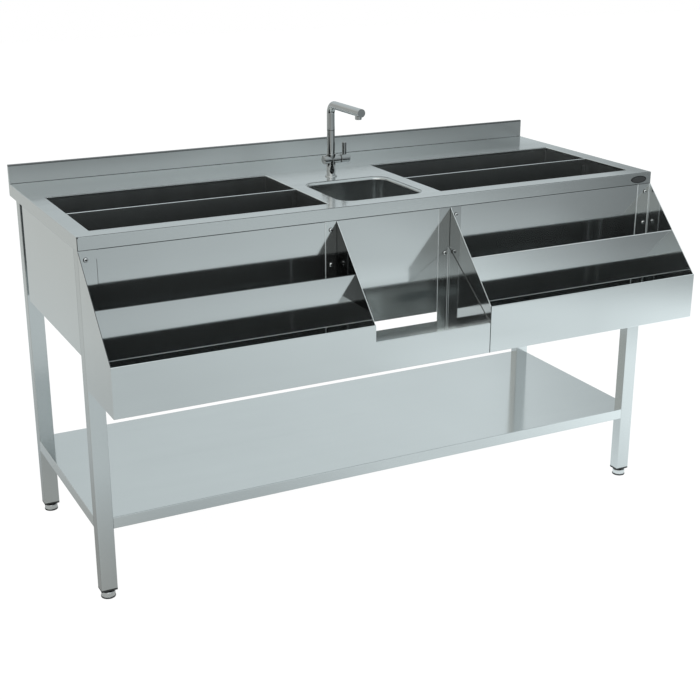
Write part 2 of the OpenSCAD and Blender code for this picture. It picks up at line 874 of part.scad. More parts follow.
// The corners are left out round the legs.
module shelf() {
  inner_x = half_length - leg_width;
  color(steel) {
    along_x(-inner_x, inner_x) shelf_section(frame_y, rear_leg_y + leg_depth);
    along_y(frame_y + leg_depth, rear_leg_y) shelf_section(-half_length, half_length);
  }
}

module shelf_stiffener() {
  w = stiffener_width / 2;
  middle = (frame_y + rear_leg_y + leg_depth) / 2;
  top = shelf_height - sheet;
  low = shelf_height - shelf_rim + 2 * sheet;
  end_x = half_length - return_flange - sheet;
  color(steel) translate([0, middle, 0]) along_x(-end_x, end_x)
    folded([[w, low], [w, top], [-w, top], [-w, low]], sheet, bend);
}

module skirt(side) {
  low = edge_z - skirt_height;
  start_y = frame_y + leg_depth;
  end_y = rear_leg_y - skirt_gap;
  inner_x = half_length - return_flange;
  color(steel) mirror([side < 0 ? 1 : 0, 0, 0]) {
    translate([0, 0, low + fold]) linear_extrude(skirt_height - 2 * fold)
      folded([[half_length, start_y], [half_length, end_y], [inner_x, end_y]], sheet, bend);
    along_y(start_y, end_y - fold)
      folded([[inner_x, low], [half_length, low], [half_length, edge_z], [inner_x, edge_z]], sheet, bend);
  }
}

module skirt_left() { skirt(-1); }
module skirt_right() { skirt(1); }

module apron() {
  inner_x = half_length - leg_width;
  color(steel) difference() {
    along_x(-inner_x, inner_x) folded([
      [frame_y + return_flange, edge_z], [frame_y, edge_z],
      [frame_y, rack_z], [frame_y + return_flange, rack_z]
    ], sheet, bend);
    box([-slot_width / 2, frame_y - past, rack_z + slot_rise],
        [slot_width / 2, frame_y + sheet + past, rack_z + slot_rise + slot_height]);
    for (side = [-1, 1]) screw_holes(cheek_screws(side * bay_x, side));
    screw_holes([gusset_screw]);
  }
}

// ------------------------------------------------------------ bottle racks

// Places in X and Z of one cheek's screws: its face is at x and its flange runs the way of side.
function cheek_screws(x, side) =
  [for (row = [0, 1]) [x + side * screw_inset, edge_z - screw_drop - row * screw_pitch]];

module screw_holes(places) {
  for (place = places) translate([place.x, frame_y, place.y]) rotate([90, 0, 0])
    cylinder(r = screw_radius + loose / 2, h = 4 * sheet, center = true);
}

// Cheek in plan, a plate along Y with its flange on the frame, cut to its side outline.
module cheek_shape(x, side, flange, slope_top, panel_top) {
  way = side > 0 ? [1, 0, 0] : [0, 0, 0];
  hem_low = panel_top - hem;
  top = slope_top < edge_z ? [[front_y, slope_top], [front_y, edge_z]] : [[front_y, edge_z]];
  outline = concat([
    [frame_y, floor_top], [rack_y + sheet, floor_top], [rack_y + sheet, hem_low],
    [hem_back_y, hem_low], [hem_back_y, panel_top]
  ], top, [[frame_y, edge_z]]);
  difference() {
    translate([x, 0, 0]) mirror(way) intersection() {
      translate([0, 0, rack_z]) linear_extrude(rack_height + past)
        folded([[0, rack_y], [0, frame_y], [-flange, frame_y]], sheet, bend);
      along_x(-flange - past, past) polygon(outline);
    }
    children();
  }
}

module cheek_left() {
  color(steel) cheek_shape(-half_length, 1, outer_flange, edge_z, rack_z + panel_height)
    screw_holes(cheek_screws(-half_length, 1));
}

module cheek_mid() {
  color(steel) cheek_shape(-bay_x, -1, inner_flange, edge_z, rack_z + panel_height)
    screw_holes(cheek_screws(-bay_x, -1));
}

module gusset() {
  color(steel) cheek_shape(bay_x, -1, inner_flange, edge_z - gusset_drop, rack_z + lip_height)
    screw_holes([gusset_screw]);
}

module cheek_centre() {
  color(steel) cheek_shape(bay_x, 1, inner_flange, edge_z, rack_z + panel_height)
    screw_holes(cheek_screws(bay_x, 1));
}

module cheek_right() {
  color(steel) cheek_shape(half_length, -1, outer_flange, edge_z, rack_z + panel_height)
    screw_holes(cheek_screws(half_length, -1));
}

// Front panel with a hem along its upper edge, and the floor folded back from its foot.
module front_tray(x0, x1, top) {
  along_x(x0, x1) folded([
    [hem_back_y, top - hem], [hem_back_y, top], [rack_y, top],
    [rack_y, rack_z], [frame_y, rack_z]
  ], sheet, bend);
}

module front_tray_left() {
  color(steel) {
    front_tray(-half_length, -bay_x, rack_z + panel_height);
    front_tray(-bay_x, bay_x - seam, rack_z + lip_height);
  }
}

module front_tray_right() {
  color(steel) front_tray(bay_x, half_length, rack_z + panel_height);
}

// Upper tier: hemmed plate with its floor folded back to the apron.
module upper_tray(x0, x1) {
  color(steel) along_x(x0, x1) folded([
    [tier_y + 2 * fold, tier_z + tier_height - hem], [tier_y + 2 * fold, tier_z + tier_height],
    [tier_y, tier_z + tier_height], [tier_y, tier_z], [front_y, tier_z]
  ], sheet, bend);
}

module upper_tray_left() { upper_tray(-half_length + sheet, -bay_x - sheet); }
module upper_tray_right() { upper_tray(bay_x + sheet, half_length - sheet); }

module screw() {
  head = screw_head_radius;
  intersection() {
    translate([0, head / 3, 0]) sphere(head * screw_dome);
    rotate([90, 0, 0]) cylinder(r = head, h = head);
  }
  rotate([-90, 0, 0]) cylinder(r = screw_radius, h = screw_length);
}

module rack_screws() {
  places = concat(
    cheek_screws(-half_length, 1), cheek_screws(-bay_x, -1),
    cheek_screws(bay_x, 1), cheek_screws(half_length, -1), [gusset_screw]
  );
  color(bright) for (place = places) translate([place.x, front_y, place.y]) screw();
}

worktop();
front_rail();
rear_rail();
cross_rail_left();
cross_rail_right();
ice_bin_left();
ice_bin_right();
bin_grid_left();
bin_grid_right();
bin_divider_left();
bin_divider_right();
bin_guides();
bin_waste_left();
bin_waste_right();
bin_gasket_left();
bin_gasket_right();
bin_nut_left();
bin_nut_right();
sink_bowl();
sink_waste();
sink_gasket();
sink_nut();
sink_strainer();
tap_ring();
tap_body();
tap_spout();
tap_aerator();
tap_cartridge();
tap_cap();
tap_lever();
tap_shank();
tap_washer();
tap_nut();
leg_front_left();
leg_front_right();
leg_rear_left();
leg_rear_right();
cap_front_left();
cap_front_right();
cap_rear_left();
cap_rear_right();
foot_front_left();
foot_front_right();
foot_rear_left();
foot_rear_right();
shelf();
shelf_stiffener();
skirt_left();
skirt_right();
apron();
cheek_left();
cheek_mid();
gusset();
front_tray_left();
upper_tray_left();
cheek_centre();
cheek_right();
front_tray_right();
upper_tray_right();
rack_screws();
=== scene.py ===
import json
import math

import bmesh
import bpy
from mathutils import Euler, Matrix, Vector


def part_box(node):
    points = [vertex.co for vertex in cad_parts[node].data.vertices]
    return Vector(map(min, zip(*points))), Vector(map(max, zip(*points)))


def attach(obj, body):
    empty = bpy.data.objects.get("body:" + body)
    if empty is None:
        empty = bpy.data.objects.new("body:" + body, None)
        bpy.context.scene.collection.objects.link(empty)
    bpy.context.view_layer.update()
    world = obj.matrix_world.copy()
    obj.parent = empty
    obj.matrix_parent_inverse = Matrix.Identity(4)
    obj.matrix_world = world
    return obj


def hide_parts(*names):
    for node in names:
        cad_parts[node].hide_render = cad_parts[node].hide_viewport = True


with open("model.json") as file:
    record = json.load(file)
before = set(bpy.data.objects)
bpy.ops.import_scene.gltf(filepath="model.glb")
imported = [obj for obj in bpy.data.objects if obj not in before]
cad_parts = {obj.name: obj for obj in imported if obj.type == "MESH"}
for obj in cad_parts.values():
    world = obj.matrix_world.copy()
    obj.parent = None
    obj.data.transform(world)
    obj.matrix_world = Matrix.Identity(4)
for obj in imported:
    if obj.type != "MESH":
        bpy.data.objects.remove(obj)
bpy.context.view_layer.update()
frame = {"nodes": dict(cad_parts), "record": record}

MM = 0.001
WHITE = (1, 1, 1, 1)


# ---------------------------------------------------------------- shader maths

class Signal:
    """One output of a node, with Python's operators for its maths."""

    def __init__(self, nodes, socket):
        self.nodes = nodes
        self.socket = socket

    def maths(self, operation, a, b):
        return self.nodes.add("ShaderNodeMath", {"operation": operation}, [a, b])

    def __add__(self, other):
        return self.maths("ADD", self, other)

    def __sub__(self, other):
        return self.maths("SUBTRACT", self, other)

    def __rsub__(self, other):
        return self.maths("SUBTRACT", other, self)

    def __mul__(self, other):
        return self.maths("MULTIPLY", self, other)

    def __gt__(self, other):
        return self.maths("GREATER_THAN", self, other)

    def __lt__(self, other):
        return self.maths("LESS_THAN", self, other)

    def __or__(self, other):
        return self.maths("MAXIMUM", self, other)

    def __pow__(self, other):
        return self.maths("POWER", self, other)

    def __abs__(self):
        return self.maths("ABSOLUTE", self, 0)

    __radd__ = __add__
    __rmul__ = __mul__
    __ror__ = __or__


class Nodes:
    """A node tree under construction."""

    def __init__(self, tree):
        self.tree = tree
        tree.nodes.clear()

    def add(self, kind, settings=None, sockets=(), output=0):
        """Adds a node, sets it up, feeds its sockets and gives one of its outputs."""
        node = self.tree.nodes.new(kind)
        for key, value in (settings or {}).items():
            setattr(node, key, value)
        pairs = sockets.items() if isinstance(sockets, dict) else enumerate(sockets)
        for key, value in pairs:
            if isinstance(value, Signal):
                self.tree.links.new(value.socket, node.inputs[key])
            else:
                node.inputs[key].default_value = value
        return Signal(self, node.outputs[output]) if node.outputs else node

    def axes(self, vector):
        """The three coordinates of a vector."""
        split = self.add("ShaderNodeSeparateXYZ", None, [vector]).socket.node
        return [Signal(self, socket) for socket in split.outputs]

    def band(self, value, low, high, at_low=0.0, at_high=1.0, ease="LINEAR"):
        """Runs from one value to another as its input goes from low to high."""
        return self.add("ShaderNodeMapRange", {"interpolation_type": ease},
                        [value, low, high, at_low, at_high])

    def blend(self, mask, a, b):
        """Goes from one value to another."""
        return self.add("ShaderNodeMix", {"data_type": "FLOAT"}, {0: mask, 2: a, 3: b})

    def tinted(self, mask, a, b):
        """Goes from one colour to another."""
        return self.add("ShaderNodeMix", {"data_type": "RGBA"}, {0: mask, 6: a, 7: b}, output=2)


class Finish(Nodes):
    """A material whose pattern lies in the object's own coordinates."""

    SOCKETS = {"base": "Base Color", "rough": "Roughness", "metal": "Metallic", "normal": "Normal"}

    def __init__(self, name):
        self.material = bpy.data.materials.new(name)
        self.material.use_nodes = True
        super().__init__(self.material.node_tree)
        self.place = self.add("ShaderNodeTexCoord", output="Object")
        self.x, self.y, self.z = self.axes(self.place)

    def noise(self, scale, detail=2.0):
        """Grey noise about a half, with its own scale along each axis."""
        vector = self.add("ShaderNodeMapping", None, {"Vector": self.place, "Scale": scale})
        return self.add("ShaderNodeTexNoise", None,
                        {"Vector": vector, "Scale": 1.0, "Detail": detail, "Roughness": 0.55})

    def line(self, value, at, half, *limits):
        """One within half a width of a plane, and between limits given as (signal, low, high)."""
        mask = abs(value - at) < half
        for signal, low, high in limits:
            mask = mask * (signal > low) * (signal < high)
        return mask

    def toned(self, colour, tone):
        """A colour made lighter or darker by a signal about 1."""
        grey = self.add("ShaderNodeCombineXYZ", None, [tone, tone, tone])
        return self.add("ShaderNodeVectorMath", {"operation": "MULTIPLY"}, [colour, grey])

    def bump(self, height, distance):
        return self.add("ShaderNodeBump", None, {"Height": height, "Distance": distance}, "Normal")

    def surface(self, **sockets):
        inputs = {self.SOCKETS[key]: value for key, value in sockets.items()}
        return self.close(self.add("ShaderNodeBsdfPrincipled", None, inputs))

    def close(self, shader):
        self.add("ShaderNodeOutputMaterial", None, {"Surface": shader})
        return self.material


# ------------------------------------------------------------------- finishes

# Places on the object, read from the frame, for the painted shade lines, painted highlight lines and
# edges below
LEFT_END, FRONT, UNDER_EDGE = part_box("worktop")[0]
RIGHT_END, WALL, SPLASH_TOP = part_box("worktop")[1]
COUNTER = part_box("tap_ring")[0][2]
BIN_GAP = 1 * MM
BIN_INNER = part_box("bin_grid_right")[0][0] - BIN_GAP
BIN_OUTER, BIN_REAR = [side + BIN_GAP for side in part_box("bin_grid_right")[1][:2]]
BEHIND_BINS = 0.3
DIVIDER_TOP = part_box("bin_divider_left")[1][2]
LEG_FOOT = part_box("leg_front_left")[0][2]
SHELF_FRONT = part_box("shelf")[0][1]
SPOUT_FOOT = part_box("tap_spout")[0][2]
HANDLE_HEIGHT = (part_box("tap_cap")[0][2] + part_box("tap_cap")[1][2]) / 2
TIER_FRONT, TIER_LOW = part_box("upper_tray_left")[0][1:]
TIER_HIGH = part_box("upper_tray_left")[1][2]
GUSSET_TOP = 0.723
APRON_SLOT_TOP = 0.563
CENTRE_BAY = 0.15

# Height gained per length along the sloped edges of the cheeks and of the gusset
CHEEK_RISE = 1.0374
GUSSET_RISE = 0.7273

# Colours of the metals, with a darker copy of the chrome as painted shade, and how far a painted shade
# line or a painted highlight line departs from them
STEEL = (0.968, 1.0, 1.0)
PAINTED_EDGE_HIGHLIGHT = (0.86, 0.90, 0.91, 1)
CHROME = (0.5, 0.51, 0.51)
SHADED_CHROME = (0.3, 0.31, 0.31)
PAINTED_SHADE_DEPTH = 0.84
SHADE_DEPTH = 0.85
LINE_METAL = 0.8


def shade_of(tint, level):
    return tuple(level * part for part in tint)


def sheet_steel(name, level, rough, along="X", streak=0.03, grain=0.008, metal=0.972, tint=STEEL,
                dark=None, light=None, fade=None, zones=()):
    """Stainless sheet brushed along one axis, with painted shade lines and painted highlight lines along
    its edges, seams and gaps.

    An optional tone pattern over the sheet paints light and shade on it. A zone is (mask, tone,
    roughness), for a face of the sheet that looks another way; its tone paints the light and shade on
    that face.
    """
    f = Finish(name)

    def stretch(run, across):
        return tuple(run if axis == along else across for axis in "XYZ")

    broad = f.noise(stretch(0.8, 30), detail=3)
    fine = f.noise(stretch(4, 900), detail=4)
    cloud = f.noise((4, 4, 4))
    tone = f.band(broad, 0.3, 0.7, 1 - streak, 1 + streak) * f.band(cloud, 0.3, 0.7, 0.985, 1.015)
    # Painted light and shade over the sheet
    if fade:
        tone = tone * fade(f)
    gloss = rough
    for mask, zone_tone, zone_rough in zones:
        inside = mask(f)
        tone = f.blend(inside, tone, zone_tone(f) if callable(zone_tone) else zone_tone)
        gloss = f.blend(inside, gloss, zone_rough)
    # Painted shade lines darken the tone along edges, seams and gaps
    if dark:
        tone = tone * (1 - PAINTED_SHADE_DEPTH * dark(f))
    base = f.toned(shade_of(tint, level), tone)
    roughness = gloss + f.band(fine, 0.2, 0.8, -0.02, 0.02) + f.band(broad, 0.3, 0.7, -0.015, 0.015)
    # Painted highlight lines turn the sheet to a pale, less metallic colour along edges
    if light:
        painted_highlight = light(f)
        base = f.tinted(painted_highlight, base, PAINTED_EDGE_HIGHLIGHT)
        metal = metal - LINE_METAL * painted_highlight
    return f.surface(base=base, metal=metal, rough=roughness, normal=f.bump(fine, grain * MM))


def even(name, base, rough, metal=0.0, grain=60, mottle=0.05, dark=None):
    """Turned, plated or moulded surface with a fine even grain, and optional painted shade lines."""
    f = Finish(name)
    cloud = f.noise((grain, grain, grain), detail=3)
    tone = f.band(cloud, 0.3, 0.7, 1 - mottle, 1 + mottle)
    if dark:
        tone = tone * (1 - SHADE_DEPTH * dark(f))
    return f.surface(base=f.toned(base, tone), metal=metal,
                     rough=rough + f.band(cloud, 0.3, 0.7, -0.02, 0.02),
                     normal=f.bump(cloud, 0.01 * MM))


def either(*masks):
    """One mask out of several."""
    def mask(f):
        total = masks[0](f)
        for other in masks[1:]:
            total = total | other(f)
        return total
    return mask


def upright(at, half=1.1 * MM, low=0.5, high=UNDER_EDGE + 10 * MM):
    """Vertical line at one X, on the face along the front."""
    return lambda f: f.line(f.x, at, half, (f.z, low, high))


def slope(top, rise, reach):
    """Line along a cheek's sloped edge, which falls forwards from its top at the apron; painted
    highlights and painted shade lines are laid on it.
    """
    return lambda f: ((f.z - top - (f.y - FRONT) * rise) > -reach) * (f.y < FRONT - 1 * MM)


def worktop_painted_shade(f):
    """Painted shade lines: in the crease at the foot of the splashback, along the splashback's top,
    round the folded front edge and its left corner, and along the bins' rear lips.
    """
    before = FRONT - 1 * MM
    above = COUNTER + 1 * MM
    splash = f.line(f.z, COUNTER + 0.6 * MM, 0.5 * MM, (f.y, WALL - 19.5 * MM, WALL - 7 * MM))
    splash_top = (f.z > SPLASH_TOP - 4 * MM) * 0.75
    strip_top = f.line(f.y, FRONT + 0.7 * MM, 1.2 * MM, (f.z, COUNTER - 0.8 * MM, above))
    strip_low = f.line(f.z, UNDER_EDGE + 0.3 * MM, 1.1 * MM, (f.y, before, FRONT + 5 * MM))
    strip_end = f.line(f.x, LEFT_END + 0.4 * MM, 1.0 * MM, (f.y, before, FRONT + 1.5 * MM))
    corner = f.line(f.x, LEFT_END + 0.5 * MM, 3.0 * MM, (f.y, before, FRONT + 3.5 * MM),
                    (f.z, COUNTER - 3.5 * MM, above))
    rear_lip = f.line(f.y, BIN_REAR + 1.2 * MM, 1.0 * MM,
                      (f.z, COUNTER - 1 * MM, COUNTER + 0.5 * MM),
                      (abs(f.x), BIN_INNER - 1 * MM, BIN_OUTER + 1 * MM))
    return splash | splash_top | strip_top | strip_low | strip_end | corner | rear_lip


def worktop_fade(f):
    """Painted light and shade: the sheet is brighter along its back, and darker at its front right
    corner.
    """
    back = f.band(f.x, -0.7, 0.0, 1.22, 1.42) * f.band(f.x, 0.0, 0.7, 1.0, 0.72)
    front = f.band(f.x, -0.6, 0.1, 1.10, 1.25)
    main = f.blend(f.band(f.y, 0.14, 0.28, ease="SMOOTHSTEP"), front, back)
    right_end = f.band(f.y, -0.15, 0.35, 0.62, 1.45)
    return f.blend(f.band(f.x, 0.62, 0.72), main, right_end)


def front_edge(f):
    return f.y < FRONT + 0.6 * MM


# Painted light and shade on the front edge: brighter right of centre, darker towards the right end
def front_edge_painted_lighting(f):
    return f.band(f.x, -0.1, 0.2, 1.10, 1.30) * f.band(f.x, 0.4, 0.68, 1.0, 0.66)


def splash_face(f):
    return (f.z > COUNTER + 1.2 * MM) * (f.y > BEHIND_BINS)


# Painted light and shade on the splashback: darker at the left and towards the right end
def splash_painted_lighting(f):
    return f.band(f.x, -0.7, 0.0, 0.74, 0.93) * f.band(f.x, 0.25, 0.65, 1.0, 0.7)


# The worktop's left end face is made 1.12 times brighter below: painted light
def worktop_end(f):
    return f.x < LEFT_END + 0.8 * MM


def leg_side(f):
    return f.x < LEFT_END + 0.6 * MM


# Painted shade: the leg's outer side face is darker towards the floor
def leg_side_painted_shade(f):
    return f.band(f.z, 0.15, 0.5, 0.68, 0.93)


def handle_shade(f):
    """Shade on the tap's column at the height of its handle."""
    return f.line(f.z, HANDLE_HEIGHT, 11.9 * MM) * 0.42


def tap_metal(name, base, dark=None):
    """Bright plated brass."""
    return even(name, base, 0.06, 1.0, 40, 0.03, dark)


# One finish for each slot of the record
finishes = {
    # The worktop's zones paint light and shade on the splashback, the front edge and the left end face
    "worktop_steel": sheet_steel("worktop_steel", 0.61, 0.15, "X", 0.05, 0.012, dark=worktop_painted_shade,
                                 fade=worktop_fade, zones=[(splash_face, splash_painted_lighting, 0.36),
                                                           (front_edge, front_edge_painted_lighting, 0.15),
                                                           (worktop_end, 1.12, 0.2)]),
    "frame_steel": sheet_steel("frame_steel", 0.6, 0.3),
    # The bins' sheet is darker than the rest, and darker still to the left: painted shade inside the
    # bins
    "bin_steel": sheet_steel("bin_steel", 0.40, 0.3, "Z", 0.02, metal=0.975,
                             fade=lambda f: f.band(f.x, -0.2, 0.2, 0.84, 1.05)),
    "bowl_steel": sheet_steel("bowl_steel", 0.50, 0.17, "Z", metal=0.96),
    "rack_steel": sheet_steel("rack_steel", 0.68, 0.085, "X", 0.01, 0.003),
    # The shelf's front edge is made brighter: painted light
    "shelf_steel": sheet_steel("shelf_steel", 0.65, 0.11, "X", 0.01,
                               zones=[(lambda f: f.y < SHELF_FRONT + 0.6 * MM, 1.16, 0.11)]),
    # The legs' lowest 1.7 mm is darker, as a painted shade line above the caps, and their outer side
    # faces carry painted shade towards the floor
    "leg_steel": sheet_steel("leg_steel", 0.68, 0.17, "Z", 0.01,
                             dark=lambda f: f.z < LEG_FOOT + 1.7 * MM,
                             zones=[(leg_side, leg_side_painted_shade, 0.17)]),
    "loose_steel": sheet_steel("loose_steel", 0.42, 0.35, "X", 0.02, metal=0.965),
    # The tap's chrome has a painted shade ring round the foot of the spout
    "tap_chrome": tap_metal("tap_chrome", CHROME,
                            lambda f: f.line(f.z, SPOUT_FOOT - 0.2 * MM, 1.2 * MM)),
    "waste_chrome": even("waste_chrome", (0.6, 0.62, 0.63), 0.12, 1.0),
    "gasket_rubber": even("gasket_rubber", (0.03, 0.03, 0.03), 0.7),
    "nut_plastic": even("nut_plastic", (0.04, 0.04, 0.045), 0.5),
    "cap_plastic": even("cap_plastic", (0.03, 0.03, 0.031), 0.5),
    "foot_metal": even("foot_metal", (0.62, 0.63, 0.63), 0.32, 0.95),
    "screw_steel": even("screw_steel", (0.66, 0.67, 0.67), 0.08, 1.0, 200, 0.02),
}


def rack_finish(name, **masks):
    """Half mirror of the racks' sheet."""
    return sheet_steel(name, 0.68, 0.085, "X", 0.01, 0.0015, **masks)


def edge_of(node, end, inset):
    """X of a line set in, by so many millimetres, from a piece's left (0) or right (1) end."""
    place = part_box(node)[end][0]
    return place + inset * MM if end == 0 else place - inset * MM


def centre_fade(f):
    """Painted shade: the cheeks beside the centre bay are darker towards their tops."""
    return f.band(f.z, 0.60, 0.70, 1.05, 0.78)


def apron_fade(f):
    """Painted light and shade: darker low down in the centre bay, a little brighter right of centre, and
    darker towards the right end.
    """
    right = f.band(f.x, 0.2, 0.4, 1.0, 1.14) * f.band(f.x, 0.45, 0.7, 1.0, 0.74)
    return f.blend(abs(f.x) < CENTRE_BAY, right, f.band(f.z, 0.60, 0.67, 0.66, 0.97))


def tier_hem(f):
    """The upper trays' folded top edge."""
    return f.line(f.z, TIER_HIGH - 0.4 * MM, 0.6 * MM, (f.y, TIER_FRONT - 0.1 * MM, TIER_FRONT + 4 * MM))


def tier_fold(f):
    """The bend at the foot of the upper trays."""
    return f.line(f.z, TIER_LOW + 0.8 * MM, 1.2 * MM, (f.y, TIER_FRONT - 0.1 * MM, TIER_FRONT + 3 * MM))


JOINT_TOP = UNDER_EDGE - 0.5 * MM
cheek_slope = slope(UNDER_EDGE, CHEEK_RISE, 0.9 * MM)
# The side skirts take a lighter copy of the sheet: painted light on the sides
side_steel = sheet_steel("side_steel", 0.73, 0.17, "Z", 0.008, 0.004)
# The dividers' sheet is darker, as painted shade inside the bins, and its top edge is 1.9 times
# brighter, as a painted highlight
divider_steel = sheet_steel("divider_steel", 0.34, 0.3, "X", 0.02,
                            zones=[(lambda f: f.z > DIVIDER_TOP - 1 * MM, 1.9, 0.2)])

# Pieces whose finish differs from their slot's, mostly by painted highlight lines, painted shade lines
# and painted light and shade over the sheet
own_finish = {
    "skirt_left": side_steel,
    "skirt_right": side_steel,
    "bin_divider_left": divider_steel,
    "bin_divider_right": divider_steel,
    # The lever and the cap take a darker copy of the chrome: painted shade
    "tap_lever": tap_metal("lever_chrome", SHADED_CHROME),
    "tap_cap": tap_metal("cap_chrome", SHADED_CHROME),
    "tap_body": tap_metal("body_chrome", CHROME, handle_shade),
    # Painted light and shade over the apron, and a painted highlight line at the gusset's left edge
    "apron": rack_finish(
        "apron_steel", fade=apron_fade,
        light=upright(edge_of("gusset", 0, 0), low=APRON_SLOT_TOP + 1 * MM, high=UNDER_EDGE - 1.2 * MM)),
    # Painted shade lines along the cheek's sloped edge and near its right end
    "cheek_left": rack_finish(
        "cheek_steel",
        dark=either(slope(UNDER_EDGE, CHEEK_RISE, 1.0 * MM),
                    upright(edge_of("cheek_left", 1, 0.5), 0.5 * MM, 0.65, 0.80))),
    # Painted highlights along the sloped edge and the left edge, and a painted shade line near the right
    # edge
    "cheek_mid": rack_finish(
        "inner_cheek_steel",
        light=either(cheek_slope, upright(edge_of("cheek_mid", 0, 0.4), 0.7 * MM)),
        dark=upright(edge_of("cheek_mid", 1, 1.3), 0.8 * MM, 0.65, JOINT_TOP)),
    # Painted shade towards the top, a painted highlight line near the right edge low down, and painted
    # shadow lines along the sloped top edge and the right edge above it
    "gusset": rack_finish(
        "gusset_steel", fade=centre_fade,
        light=upright(edge_of("gusset", 1, 3.6), 0.5 * MM, 0.5, GUSSET_TOP - 0.5 * MM),
        dark=either(slope(GUSSET_TOP, GUSSET_RISE, 1.2 * MM),
                    upright(edge_of("gusset", 1, 0.3), 0.8 * MM, GUSSET_TOP + 0.5 * MM, JOINT_TOP))),
    # Painted shade towards the top, and a painted highlight along the sloped edge
    "cheek_centre": rack_finish("centre_cheek_steel", fade=centre_fade, light=cheek_slope),
    # Painted highlights along the sloped edge and both upright edges
    "cheek_right": rack_finish(
        "end_cheek_steel",
        light=either(cheek_slope, upright(edge_of("cheek_right", 0, 0.4), 0.9 * MM),
                     upright(edge_of("cheek_right", 1, 3.0), 1.1 * MM))),
    # Painted shade line at the tray's right end
    "front_tray_left": rack_finish(
        "long_tray_steel", dark=upright(edge_of("front_tray_left", 1, 0.2), 0.9 * MM)),
    # Painted light towards the right, and a painted shade line at the left end
    "front_tray_right": rack_finish(
        "short_tray_steel", fade=lambda f: f.band(f.x, 0.45, 0.75, 1.0, 1.27),
        dark=upright(edge_of("front_tray_right", 0, 0.3), 0.5 * MM)),
    # Painted shade along the folded top edge, a painted highlight along the bend at the foot, and a
    # darker tone as painted shade
    "upper_tray_left": rack_finish(
        "left_tier_steel", dark=tier_hem, light=tier_fold,
        fade=lambda f: f.band(f.x, -0.7, -0.2, 0.86, 0.88)),
    # Painted highlights along the folded top edge and the bend at the foot, and painted shade towards
    # the right
    "upper_tray_right": rack_finish(
        "right_tier_steel", light=either(tier_hem, tier_fold),
        fade=lambda f: f.band(f.x, 0.15, 0.6, 1.10, 0.85)),
}

slot_of = {part["node"]: part["material_slot"] for part in frame["record"]["subparts"]}
for name, node in frame["nodes"].items():
    node.data.materials.clear()
    node.data.materials.append(own_finish.get(name) or finishes[slot_of[name]])


# ---------------------------------------------------------------- blank plate

def added(name, shape, body, slot, finish, *replaced):
    """Makes a piece of a finished shape, riding on a body, in place of some nodes."""
    mesh = bpy.data.meshes.new(name)
    shape.to_mesh(mesh)
    shape.free()
    mesh.materials.append(finish)
    piece = bpy.data.objects.new(name, mesh)
    bpy.context.scene.collection.objects.link(piece)
    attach(piece, body)
    if replaced:
        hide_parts(*replaced)


def facing_front(shape):
    """Turns a shape that was made facing up so that it faces the front."""
    bmesh.ops.rotate(shape, cent=(0, 0, 0), matrix=Matrix.Rotation(math.pi / 2, 3, "X"),
                     verts=shape.verts)


PLATE_X = RIGHT_END - 39.5 * MM
PLATE_Z = UNDER_EDGE + 13.5 * MM
PLATE_WIDTH = 48 * MM
PLATE_HEIGHT = 18.4 * MM
PLATE_THICKNESS = 1.1 * MM
PLATE_RIM = 3.5 * MM
PLATE_RIM_HIGH = 2.7 * MM


def plate_finish():
    """Dark rim round a slightly lighter enamelled field, both plain."""
    f = Finish("plate_enamel")
    cloud = f.noise((300, 300, 300))
    wide = (f.x - PLATE_X) * (1 / (PLATE_WIDTH / 2 - PLATE_RIM))
    high = (f.z - PLATE_Z) * (1 / (PLATE_HEIGHT / 2 - PLATE_RIM_HIGH))
    field = (wide * wide + high * high) < 1.0
    base = f.tinted(field, (0.025, 0.026, 0.027, 1), (0.062, 0.064, 0.066, 1))
    return f.surface(base=base, metal=f.blend(field, 0.2, 0.1),
                     rough=0.2 + f.band(cloud, 0.3, 0.7, -0.03, 0.03),
                     normal=f.bump(cloud, 0.01 * MM))


def blank_plate():
    """Oval plate on the front edge, left plain, with a step round its field."""
    shape = bmesh.new()
    rim = bmesh.ops.create_circle(shape, cap_ends=True, segments=56, radius=1.0)["verts"]
    bmesh.ops.scale(shape, vec=(PLATE_WIDTH / 2, PLATE_HEIGHT / 2, 1), verts=rim)
    raised = bmesh.ops.extrude_face_region(shape, geom=shape.faces[:])["geom"]
    front = [item for item in raised if isinstance(item, bmesh.types.BMFace)]
    bmesh.ops.translate(shape, vec=(0, 0, PLATE_THICKNESS),
                        verts=list({corner for face in front for corner in face.verts}))
    bmesh.ops.inset_region(shape, faces=front, thickness=1.6 * MM, depth=0)
    bmesh.ops.inset_region(shape, faces=front, thickness=0.6 * MM, depth=-0.5 * MM)
    bmesh.ops.recalc_face_normals(shape, faces=shape.faces)
    facing_front(shape)
    bmesh.ops.translate(shape, vec=(PLATE_X, FRONT, PLATE_Z), verts=shape.verts)
    added("blank_plate", shape, "frame", "worktop_steel", plate_finish())


blank_plate()


# ------------------------------------------------------------- feet and screws

def turned(profile, steps):
    """Spins a profile, of (radius, height) in millimetres, round the vertical axis."""
    shape = bmesh.new()
    corners = [shape.verts.new((radius * MM, 0, height * MM)) for radius, height in profile]
    edges = [shape.edges.new(pair) for pair in zip(corners, corners[1:])]
    bmesh.ops.spin(shape, geom=corners + edges, cent=(0, 0, 0), axis=(0, 0, 1), angle=2 * math.pi,
                   steps=steps, use_merge=True)
    bmesh.ops.remove_doubles(shape, verts=shape.verts, dist=1e-6)
    bmesh.ops.recalc_face_normals(shape, faces=shape.faces)
    return shape


PAD_TOP = 4.0 * MM
